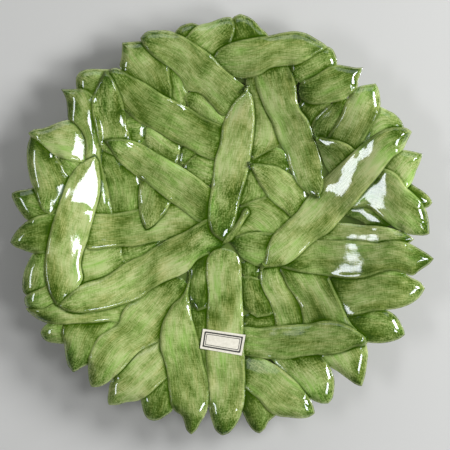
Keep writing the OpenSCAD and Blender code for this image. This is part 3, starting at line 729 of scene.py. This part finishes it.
def shape_pod(number, pod):
    """Makes the closed mesh of one laid pod, and marks it for the glaze."""
    patch, one, other = pod["patch"], pod["one"], pod["other"]
    share = np.linspace(0, 1, MIDDLE_PLACES)
    middle = (along_edge(one, share) + along_edge(other, share)) / 2
    length = np.hypot(*np.diff(middle, axis=0).T).sum()
    width = np.hypot(*(one[len(one) // 2] - other[len(other) // 2]))
    name = pod["node"] + "_" + pod["part"]
    if "filler" in name:
        name += "_%02d" % sum(p["node"] == pod["node"] for p in pods[:number])
    columns = int(np.clip(length / FACE_LONG, *FACES_LONG))
    rows = int(np.clip(width / FACE_WIDE, *FACES_WIDE))
    piece, flat = thin_sheet(name, columns, rows)
    u = (flat[:, 0] + 1) / 2
    u = np.clip(u - END_CROWDING * np.sin(2 * math.pi * u), BLUNT_END, 1 - BLUNT_END)
    v = flat[:, 1] * (1 + EDGE_CROWDING - EDGE_CROWDING * flat[:, 1] ** 2)
    from_one, from_other = along_edge(one, u), along_edge(other, u)
    x, y = (from_one * (1 - v[:, None]) / 2 + from_other * (1 + v[:, None]) / 2).T
    half_width = np.hypot(*(from_one - from_other).T) / 2

    # the upper face is the pressed heap where the pod shows, and dips under the
    # neighbours where it doesn't; the lower face is what it was laid on
    shown = uppermost[patch]
    face = pressed[patch]
    buried = np.maximum(np.minimum(pod["top"], face - BURIED), face - SKIM - DIVE * from_own_edge[patch])
    beyond = np.where((shown < number) & ~outside[patch], face - SKIM, face)
    upper_face = np.where(shown > number, buried, beyond)
    lip = LIP_DEEP * np.clip((grid_r[patch] - BRIM_R - LIP_STARTS) / LIP_RUN, 0, 1)
    sunk = np.where(grid_r[patch] > BRIM_R, lip, np.maximum(heap_base - dish_top, 0)[patch])
    lower_face = pod["under"] - BED_DEPTH - pod["bare"] * sunk - LOWER_ROUNDING * rounding[patch]
    z_upper = between(upper_face, patch, x, y)
    z_lower = np.minimum(between(lower_face, patch, x, y), z_upper - LEAST_THICK)
    is_upper = flat[:, 2] > -SHEET_THICK / 2
    settle(piece.data, x, y, np.where(is_upper, z_upper, z_lower))
    bpy.ops.object.shade_smooth()

    # marks for the glaze: how far the pod's ends, the foot of a pod above (pooled glaze
    # and painted shade there), the pod's own edge (thin glaze with a painted highlight,
    # and pooled glaze with painted shade) and the plate's rim are, and the run of the brush
    to_tail = u * length - pod["dabbed"][0]
    to_tip = (1 - u) * length - pod["dabbed"][1]
    to_foot = np.where(shown == number, from_foot_above[patch], np.where(shown > number, 0.0, FAR_OFF))
    to_edge = np.where(shown == number, from_own_edge[patch], np.where(shown < number, 0.0, FAR_OFF))
    mark(piece.data, "ends", np.minimum(to_tail, to_tip))
    mark(piece.data, "from_foot_above", between(to_foot, patch, x, y))
    mark(piece.data, "from_own_edge", between(to_edge, patch, x, y))
    mark(piece.data, "rim", between(rim_edge[patch], patch, x, y))
    apart = np.full(len(flat), number * GRAIN_APART)
    mark_grain(piece.data, np.column_stack((u * length, v * half_width, apart)))
    stand_for(piece, pod["node"])
    return piece


laid = [shape_pod(k + 1, pod) for k, pod in enumerate(pods)]

# The glaze: brushed streaks of leaf green over a pale ground, darker at the pod
# ends, darker where it pools in the creases with painted shade laid in there,
# pale where it runs thin off an edge with a painted highlight there, under a clear gloss.
GLAZE_COLOURS = [(0.06, (0.500, 0.580, 0.250, 1)), (0.30, (0.345, 0.430, 0.142, 1)),
                 (0.50, (0.212, 0.300, 0.072, 1)), (0.68, (0.115, 0.190, 0.027, 1)),
                 (0.84, (0.058, 0.116, 0.006, 1)), (1.00, (0.032, 0.078, 0.001, 1))]
OLIVE_TINT = (1.14, 1.0, 0.98, 1)
LEAF_TINT = (0.56, 0.84, 0.38, 1)
# the pale of thin glaze with a painted highlight on raised edges, and the dark of pooled glaze with painted
# shade along the creases
THIN_GLAZE_AND_HIGHLIGHT_PALE = (0.47, 0.54, 0.22, 1)
EDGE_POOL_AND_SHADE_DARK = (0.032, 0.080, 0.001, 1)
POOL_AND_SHADE_DARK = (0.026, 0.068, 0.001, 1)
RIM_PALE = (0.60, 0.65, 0.34, 1)
GLOSS_TINT = (0.86, 0.90, 1.0, 1)
GLOSS_ROUGH = 0.06
GLOSS_IOR = 1.85
GLOSS_LEVEL = 0.5
CREASE_DULLNESS = 0.47
RIPPLE_STRENGTH = 0.10
RIPPLE_HIGH = 0.0003
RIPPLE_FROM_STROKES = 0.3

# how much darker or lighter each way of laying the glaze on makes it, the painted
# shade of the creases and the painted highlight of the edges among them
EVEN_LOAD = 0.362
PATCH_TONE = 1.70
MOTTLE_TONE = 0.60
STROKE_TONE = 0.94
CROSS_TONE = 0.50
POD_TONE = 0.32
DAB_TONE = 1.25
DABS_AT_ENDS = 0.7
DABS_ALL_OVER = 0.28
# the next two darken the glaze beside each crease: pooled glaze, and painted shade
POOL_AND_SHADE_TONE = 0.20
EDGE_POOL_AND_SHADE_TONE = 0.10
END_TONE = 0.30
DABBED_TONE = 0.38
WARM_PATCH_TONE = 3.2
WARM_STROKE_TONE = 2.2
# the pale of thin glaze with a painted highlight inside a raised edge, and the dark line of pooled glaze
# with painted shade along it
THIN_GLAZE_AND_HIGHLIGHT_STRENGTH = 0.22
EDGE_POOL_AND_SHADE_STRENGTH = 0.6
RIM_PALENESS = 0.5

# the contrast and the level of the patterns that break up lines of glaze, and the
# painted shade along the creases with them
LOOSE_LEVEL = (1.8, 0.1)
PATCHY_LEVEL = (3.0, -0.7)
FADING_LEVEL = (3.2, -0.85)


def read(name, output="Fac"):
    """What a mesh keeps at its points under a name."""
    node = tree.nodes.new("ShaderNodeAttribute")
    node.attribute_name = name
    return node.outputs[output]


def calc(operation, a, b):
    """One step of arithmetic on sockets or numbers."""
    node = tree.nodes.new("ShaderNodeMath")
    node.operation = operation
    for socket, value in zip(node.inputs, (a, b)):
        if isinstance(value, (int, float)):
            socket.default_value = value
        else:
            tree.links.new(value, socket)
    return node.outputs["Value"]


def add(first, *others):
    """The sum of sockets and numbers."""
    for value in others:
        first = calc("ADD", first, value)
    return first


def times(first, *others):
    """The product of sockets and numbers."""
    for value in others:
        first = calc("MULTIPLY", first, value)
    return first


def strokes(along, across, detail):
    """A noise drawn out along the pods, scaled along and across the brush."""
    scale = tree.nodes.new("ShaderNodeMapping")
    scale.inputs["Scale"].default_value = (along, across, 1.0)
    tree.links.new(brush, scale.inputs["Vector"])
    return noise(scale.outputs["Vector"], 1.0, detail)


def tone(pattern, strength):
    """A pattern as a lighter or darker tone around nought."""
    return times(calc("SUBTRACT", pattern, 0.5), strength)


def levelled(pattern, contrast, level):
    """A pattern with its contrast raised and its level moved."""
    return add(times(pattern, contrast), level)


def marked(name, near, far):
    """1 beside a marked line and 0 further off, from a distance in millimetres."""
    return mapped(read(name), (near, far), (1.0, 0.0), "SMOOTHSTEP")


pod_glaze, tree, shader = start_material("pod_glaze")
brush = read("grain", "Vector")
fine = strokes(0.24, 2.4, 3.0)
cross = strokes(2.2, 0.24, 3.0)
mottle = strokes(0.17, 0.22, 3.0)
patches = strokes(0.05, 0.08, 2.0)
dabs = strokes(1.25, 1.35, 2.0)
which_pod = tree.nodes.new("ShaderNodeSeparateXYZ")
tree.links.new(brush, which_pod.inputs["Vector"])
own = tree.nodes.new("ShaderNodeTexWhiteNoise")
own.noise_dimensions = "1D"
tree.links.new(which_pod.outputs["Z"], own.inputs["W"])

# lines and ends of glaze, and the painted shade along the creases, come and go along their run
loose = levelled(mottle, *LOOSE_LEVEL)
patchy = levelled(patches, *PATCHY_LEVEL)
fading = levelled(strokes(0.07, 0.07, 2.0), *FADING_LEVEL)
at_ends = marked("ends", 1.0, 18.0)

# how thickly the glaze lies, and so how dark it is, painted shade beside the creases included
load = add(tone(patches, PATCH_TONE), tone(mottle, MOTTLE_TONE))
load = add(load, tone(fine, STROKE_TONE), tone(cross, CROSS_TONE), tone(own.outputs["Value"], POD_TONE))
load = add(load, times(tone(dabs, DAB_TONE), add(times(at_ends, DABS_AT_ENDS), DABS_ALL_OVER)))
# darker beside the foot of a pod above and along a pod's own raised edge: pooled glaze, and painted shade
# of the crease
load = add(load, times(marked("from_foot_above", 0.0, 3.4), patchy, POOL_AND_SHADE_TONE))
load = add(load, times(marked("from_own_edge", 0.0, 3.0), loose, EDGE_POOL_AND_SHADE_TONE))
load = add(load, times(at_ends, loose, END_TONE), times(marked("ends", -14.0, 0.0), DABBED_TONE), EVEN_LOAD)
colour = ramp(load, GLAZE_COLOURS)

# some strokes are more olive and some more leaf green, and lines follow the edges:
# a pale band of thin glaze with a painted highlight inside each raised edge, dark
# lines of pooled glaze with painted shade on both sides of each crease, and a pale rim
warm_patches = tone(strokes(0.045, 0.09, 2.0), WARM_PATCH_TONE)
warm = add(warm_patches, tone(strokes(0.10, 0.6, 3.0), WARM_STROKE_TONE))
colour = over(colour, OLIVE_TINT, calc("MAXIMUM", warm, 0.0), "MULTIPLY")
colour = over(colour, LEAF_TINT, calc("MAXIMUM", times(warm, -1.0), 0.0), "MULTIPLY")
colour = over(colour, THIN_GLAZE_AND_HIGHLIGHT_PALE, times(marked("from_own_edge", 0.6, 1.7), THIN_GLAZE_AND_HIGHLIGHT_STRENGTH))
colour = over(colour, EDGE_POOL_AND_SHADE_DARK, times(marked("from_own_edge", 0.1, 0.65), fading, EDGE_POOL_AND_SHADE_STRENGTH))
colour = over(colour, POOL_AND_SHADE_DARK, times(marked("from_foot_above", 0.10, 1.3), fading))
colour = over(colour, RIM_PALE, times(marked("rim", 0.2, 1.1), loose, RIM_PALENESS))
tree.links.new(colour, shader.inputs["Base Color"])

# a clear gloss with a faint ripple, duller in the creases
ripple = tree.nodes.new("ShaderNodeBump")
ripple.inputs["Strength"].default_value = RIPPLE_STRENGTH
ripple.inputs["Distance"].default_value = RIPPLE_HIGH
uneven = add(times(fine, RIPPLE_FROM_STROKES), strokes(0.3, 0.35, 2.0))
tree.links.new(uneven, ripple.inputs["Height"])
tree.links.new(ripple.outputs["Normal"], shader.inputs["Normal"])
crease = calc("MAXIMUM", marked("from_own_edge", 0.6, 1.5), marked("from_foot_above", 0.5, 1.5))
gloss = calc("SUBTRACT", GLOSS_LEVEL, times(crease, CREASE_DULLNESS))
tree.links.new(gloss, shader.inputs["Specular IOR Level"])
shader.inputs["Roughness"].default_value = GLOSS_ROUGH
shader.inputs["IOR"].default_value = GLOSS_IOR
shader.inputs["Specular Tint"].default_value = GLOSS_TINT
for piece in laid:
    piece.data.materials.clear()
    piece.data.materials.append(pod_glaze)

# The stalks: short stubs rolled from the same clay and pinched on at the ends of
# some pods, under the same glaze.
MILLIMETRE = 0.001
STALK_GAP = 0.5
STALK_FACES = 5
STALK_LIFT = 0.5
LEAST_RADIUS = 0.15

# the last ninth of a stalk is rounded off, though never quite to nothing
ROUND_SHARE = 9.0
ROUND_LEFT = 0.0001

# a stalk is glazed as a pod is close to its end, at a place of its own in the streaks
STALK_ENDS = 3.0
STALK_GRAIN = 300.0
whole = (slice(0, len(line)), slice(0, len(line)))


def add_stalk(node, path, radii):
    """Rolls a stalk along a path on the heap, with its radii from the pod outwards."""
    roll = bpy.data.curves.new(node + "_stalk", "CURVE")
    roll.dimensions = "3D"
    roll.bevel_depth = MILLIMETRE
    roll.bevel_resolution = STALK_FACES
    roll.use_fill_caps = True
    run = edge_line(path, STALK_GAP)
    share = np.linspace(0, 1, len(run))
    radius = np.interp(share, np.linspace(0, 1, len(radii)), radii)
    radius *= np.sqrt(np.clip((1 + ROUND_LEFT - share) * ROUND_SHARE, 0, 1))
    high = between(pressed, whole, run[:, 0], run[:, 1]) + radius * STALK_LIFT
    spline = roll.splines.new("POLY")
    spline.points.add(len(run) - 1)
    for point, (x, y), z, r in zip(spline.points, run, high, radius):
        point.co = (x / 1000, y / 1000, z / 1000, 1)
        point.radius = max(r, LEAST_RADIUS)
    piece = bpy.data.objects.new(node + "_stalk", roll)
    bpy.context.scene.collection.objects.link(piece)
    bpy.ops.object.select_all(action="DESELECT")
    piece.select_set(True)
    bpy.context.view_layer.objects.active = piece
    bpy.ops.object.convert(target="MESH")
    bpy.ops.object.mode_set(mode="EDIT")
    bpy.ops.mesh.select_all(action="SELECT")
    bpy.ops.mesh.normals_make_consistent(inside=False)
    bpy.ops.object.mode_set(mode="OBJECT")
    bpy.ops.object.shade_smooth()
    points = np.zeros(len(piece.data.vertices) * 3)
    piece.data.vertices.foreach_get("co", points)
    points = points.reshape(-1, 3) * 1000
    for name, far in (("ends", STALK_ENDS), ("from_foot_above", FAR_OFF), ("from_own_edge", FAR_OFF), ("rim", FAR_OFF)):
        mark(piece.data, name, np.full(len(points), far))
    mark_grain(piece.data, points + (0, 0, STALK_GRAIN))
    piece.data.materials.append(pod_glaze)
    stand_for(piece, node)


add_stalk("long_pod_noon", [(11.4, 64.0), (12.2, 65.8), (13.0, 67.0)], (1.2, 1.0, 0.9))
add_stalk("well_pod_02", [(14.6, 28.2), (13.7, 29.3), (13.0, 30.2)], (1.1, 0.9, 0.8))
add_stalk("well_pod_05", [(46.3, 41.0), (45.2, 42.1), (44.4, 42.9)], (1.1, 0.9, 0.8))
add_stalk("well_pod_01", [(46.3, 15.0), (46.8, 13.5), (47.0, 12.5)], (1.2, 1.0, 0.9))
add_stalk("long_pod_two", [(20.6, -19.8), (19.5, -21.2), (18.7, -22.3)], (1.2, 0.9, 0.9))

# The label: a small slip of cream paper with a thin printed frame, gummed over the
# long pod at six o'clock and a little lifted where it bridges the pod's edges.
LABEL_CORNERS = np.array([(-10.7, -60.2), (9.5, -63.6), (11.4, -53.8), (-9.3, -50.9)])
LABEL_FACES = (40, 20)
PAPER_THICK = 0.14
GUM_THICK = 0.16
PAPER_SPAN = 3.5
PAPER_CLEAR = 0.05
PAPER_SOFT = 1.0
PAPER_SHADE = (0.74, 0.71, 0.60, 1)
PAPER_LIGHT = (0.87, 0.84, 0.73, 1)
PAPER_ROUGH = 0.55
FIBRE_SCALE = 900.0
INK = (0.045, 0.045, 0.040, 1)
PRINTED_LINES = ((0.95, 1.65), (2.05, 2.35))
PRINT_REACH = 10.0
label, flat = thin_sheet("paper_label_slip", *LABEL_FACES)
s, t = (flat[:, :2].T + 1) / 2
corner_shares = np.column_stack(((1 - s) * (1 - t), s * (1 - t), s * t, (1 - s) * t))
x, y = (corner_shares @ LABEL_CORNERS).T
bridged = np.maximum(smoothed(pressed, PAPER_SPAN), pressed + PAPER_CLEAR)
gummed = smoothed(bridged, PAPER_SOFT) + GUM_THICK
lift = np.where(flat[:, 2] > -SHEET_THICK / 2, PAPER_THICK, 0)
settle(label.data, x, y, between(gummed, whole, x, y) + lift)
label_long = np.hypot(*(LABEL_CORNERS[1] - LABEL_CORNERS[0]))
label_deep = np.hypot(*(LABEL_CORNERS[3] - LABEL_CORNERS[0]))
mark(label.data, "margin", np.minimum(np.minimum(s, 1 - s) * label_long, np.minimum(t, 1 - t) * label_deep))
paper, tree, shader = start_material("label_paper")
on_paper = tree.nodes.new("ShaderNodeTexCoord").outputs["Object"]
cream = ramp(noise(on_paper, FIBRE_SCALE, 4.0), [(0.3, PAPER_SHADE), (0.7, PAPER_LIGHT)])
print_stops = [(0.0, (0, 0, 0, 1))]
for starts, ends in PRINTED_LINES:
    print_stops.append((starts / PRINT_REACH, (1, 1, 1, 1)))
    print_stops.append((ends / PRINT_REACH, (0, 0, 0, 1)))
printed = ramp(times(read("margin"), 1 / PRINT_REACH), print_stops, "CONSTANT")
tree.links.new(over(cream, INK, printed), shader.inputs["Base Color"])
shader.inputs["Roughness"].default_value = PAPER_ROUGH
label.data.materials.append(paper)
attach(label, "root")
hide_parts("paper_label")

# The floor: a plain pale grey sheet of paper, matt, which the plate stands on and
# which takes its shadow.
FLOOR_WIDE = 4.0
FLOOR_GREY = (0.60, 0.605, 0.595, 1)
FLOOR_ROUGH = 0.9
FLOOR_GLOSS = 0.1
bpy.ops.object.select_all(action="DESELECT")
bpy.ops.mesh.primitive_plane_add(size=FLOOR_WIDE, location=(0, 0, 0))
floor = bpy.context.object
floor.name = "studio_floor"
sheet, tree, shader = start_material("floor_sheet")
shader.inputs["Base Color"].default_value = FLOOR_GREY
shader.inputs["Roughness"].default_value = FLOOR_ROUGH
shader.inputs["Specular IOR Level"].default_value = FLOOR_GLOSS
floor.data.materials.append(sheet)

# The light: a low key screen and a higher soft box on the right, a window on the
# left, a large dim panel behind, and a dim pale room around them. Each lamp has a
# place, a width and height, and a power, and faces the plate.
LAMPS = (("key_screen", (0.82, 0.21, 0.54), (0.34, 0.34), 8.9),
         ("right_softbox", (0.71, -0.25, 0.81), (0.30, 0.36), 4.1),
         ("left_window", (-0.71, -0.05, 0.82), (0.47, 0.215), 2.5),
         ("back_panel", (0.05, 1.00, 0.50), (1.40, 0.70), 2.6))
ROOM_LIGHT = 0.08
for name, spot, size, power in LAMPS:
    lamp = bpy.data.lights.new(name, "AREA")
    lamp.shape = "RECTANGLE"
    lamp.size, lamp.size_y = size
    lamp.energy = power
    stand = bpy.data.objects.new(name, lamp)
    bpy.context.scene.collection.objects.link(stand)
    stand.location = spot
    stand.rotation_mode = "QUATERNION"
    stand.rotation_quaternion = Vector(spot).to_track_quat("Z", "Y")
room = bpy.data.worlds.new("pale_room")
room.use_nodes = True
room.node_tree.nodes["Background"].inputs["Color"].default_value = (1, 1, 1, 1)
room.node_tree.nodes["Background"].inputs["Strength"].default_value = ROOM_LIGHT
bpy.context.scene.world = room
